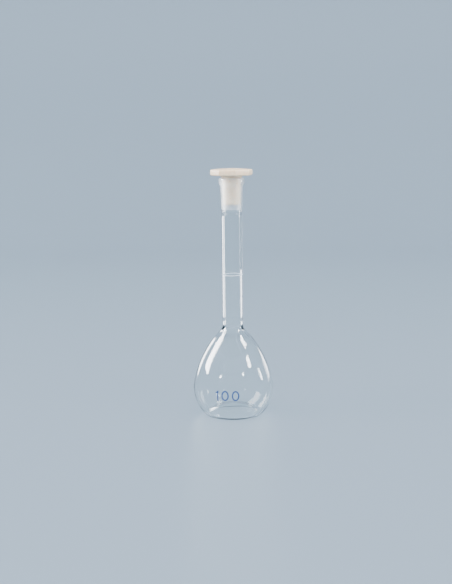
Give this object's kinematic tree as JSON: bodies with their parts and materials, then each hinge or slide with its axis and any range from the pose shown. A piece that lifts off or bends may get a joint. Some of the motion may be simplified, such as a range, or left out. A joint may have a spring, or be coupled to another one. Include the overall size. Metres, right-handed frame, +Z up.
{
  "type": "volumetric flask",
  "caption": "Pear-shaped glass flask with a long narrow neck, a ring mark at its capacity, a ground taper socket and a plastic stopper.",
  "frame": {"origin": "centre of the base, on the bench that the flask stands on", "axes": "+Z up along the axis of the neck, +Y away from the side that carries the numerals"},
  "size_m": [0.059, 0.0592, 0.1817],
  "materials": {
    "clear_glass": "fire polished",
    "ground_glass": "ground",
    "ring_enamel": "fired enamel",
    "print_enamel": "fired enamel",
    "stopper_plastic": "satin moulded"
  },
  "bodies": {
    "flask": {"bulb": "clear_glass", "neck_tube": "clear_glass", "ground_socket": "ground_glass", "ring_mark": "ring_enamel", "numeral_one": "print_enamel", "numeral_zero_left": "print_enamel", "numeral_zero_right": "print_enamel"},
    "stopper": {"stopper": "stopper_plastic"}
  },
  "joints": [
    {"name": "stopper_lift", "type": "slide", "parent": "flask", "child": "stopper", "axis": [0, 0, 1], "range_m": [0, 0.045]}
  ]
}
